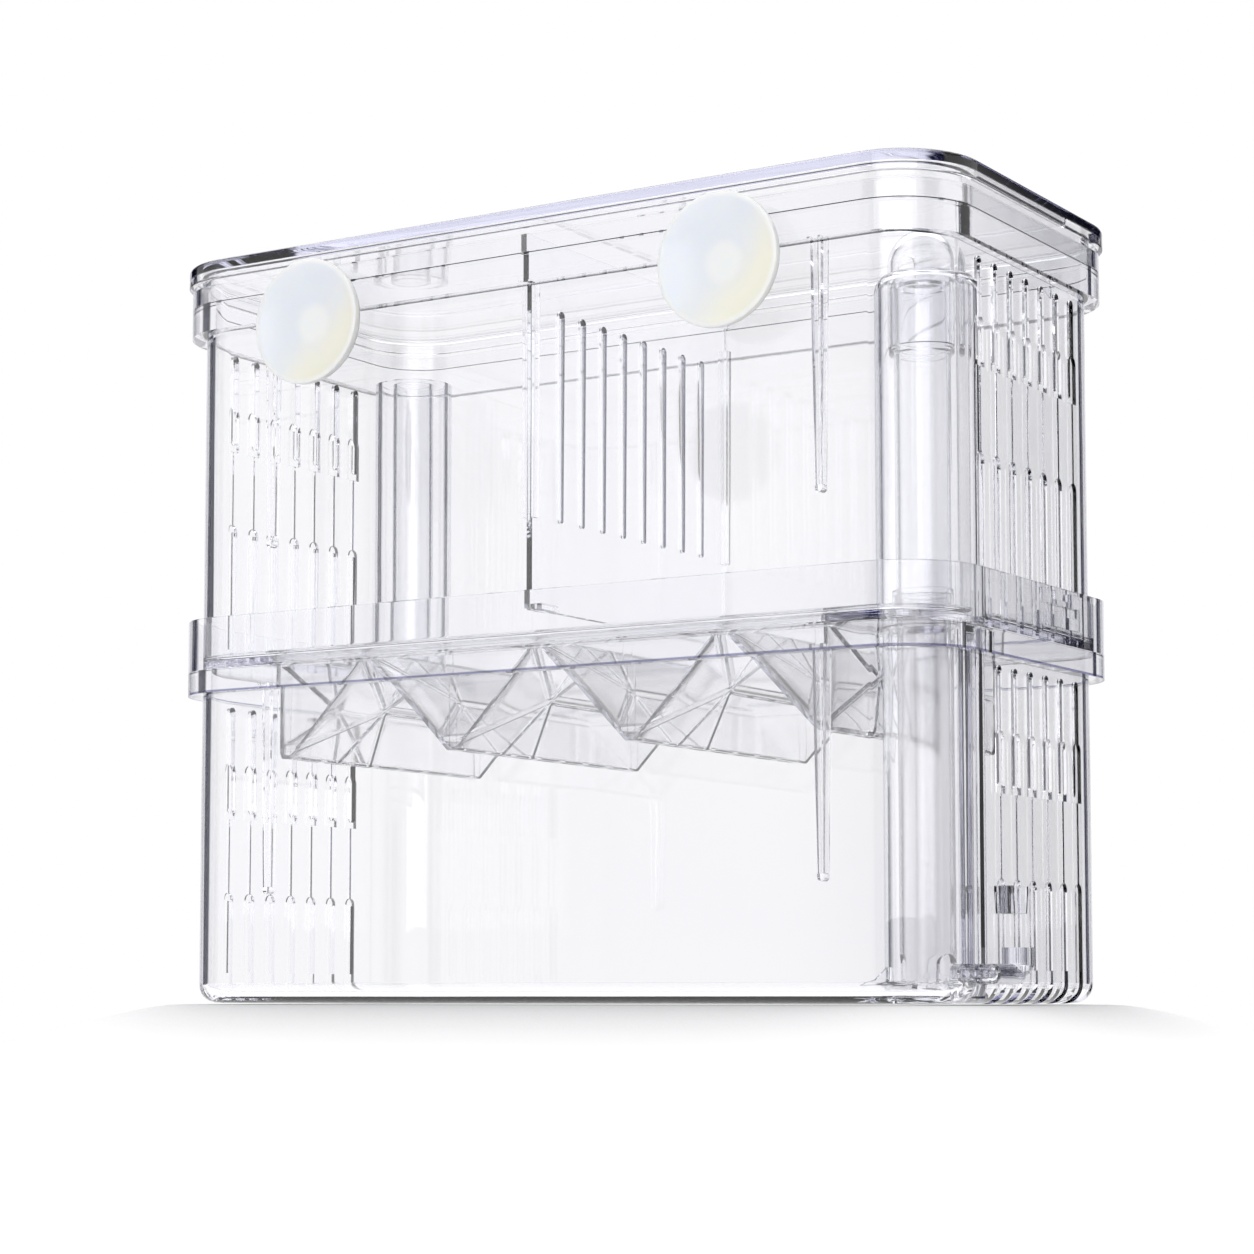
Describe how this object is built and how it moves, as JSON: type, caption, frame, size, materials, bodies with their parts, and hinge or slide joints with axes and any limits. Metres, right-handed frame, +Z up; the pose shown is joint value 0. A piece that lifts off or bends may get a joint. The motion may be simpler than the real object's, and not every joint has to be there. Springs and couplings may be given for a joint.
{
  "type": "fish breeding box",
  "caption": "Clear two-storey fish breeding box with lid, slotted divider, zigzag fry separator, riser column, air inlet and suction cups.",
  "frame": {"origin": "centre of the lower tank's footprint, on the plane it stands on", "axes": "+Z up, +X along the length toward the riser column's side wall, -Y toward the wall that carries the suction cups"},
  "size_m": [0.2176, 0.1085, 0.182],
  "materials": {
    "tank_clear": "clear moulded plastic, polished, faint violet tint at the edges",
    "tube_clear": "clear extruded tube, polished",
    "tube_frosted": "clear plastic tube, lightly frosted, a little grey",
    "fitting_clear": "clear moulded plastic, polished",
    "separator_clear": "clear moulded plastic, slightly milky",
    "divider_clear": "clear moulded plastic, polished",
    "lid_clear": "clear moulded plastic, polished, faint violet tint at the edges",
    "cup_silicone": "milky translucent silicone, smooth"
  },
  "bodies": {
    "lower": {"lower_tank": "tank_clear", "lower_riser_tube": "tube_frosted", "air_nozzle": "fitting_clear", "hose_clip": "fitting_clear"},
    "upper": {"upper_tank": "tank_clear", "upper_riser_tube": "tube_clear"},
    "separator": {"fry_separator": "separator_clear"},
    "divider": {"divider_plate": "divider_clear"},
    "cover": {"lid": "lid_clear"},
    "cap": {"outlet_cap": "tube_clear"},
    "cup_left": {"suction_cup_left": "cup_silicone"},
    "cup_right": {"suction_cup_right": "cup_silicone"}
  },
  "joints": [
    {"name": "upper_tank_lift", "type": "slide", "parent": "lower", "child": "upper", "axis": [0, 0, 1], "range_m": [0, 0.04]},
    {"name": "separator_lift", "type": "slide", "parent": "upper", "child": "separator", "axis": [0, 0, 1], "range_m": [0, 0.12]},
    {"name": "divider_lift", "type": "slide", "parent": "separator", "child": "divider", "axis": [0, 0, 1], "range_m": [0, 0.09]},
    {"name": "lid_lift", "type": "slide", "parent": "divider", "child": "cover", "axis": [0, 0, 1], "range_m": [0, 0.025]},
    {"name": "outlet_cap_turn", "type": "hinge", "parent": "upper", "child": "cap", "pos_m": [0.0903, -0.024, 0.16], "axis": [0, 0, 1], "continuous": true},
    {"name": "cup_left_turn", "type": "hinge", "parent": "upper", "child": "cup_left", "pos_m": [-0.0565, -0.047, 0.1614], "axis": [0, 1, 0], "continuous": true},
    {"name": "cup_right_turn", "type": "hinge", "parent": "upper", "child": "cup_right", "pos_m": [0.0565, -0.047, 0.1614], "axis": [0, 1, 0], "continuous": true}
  ]
}
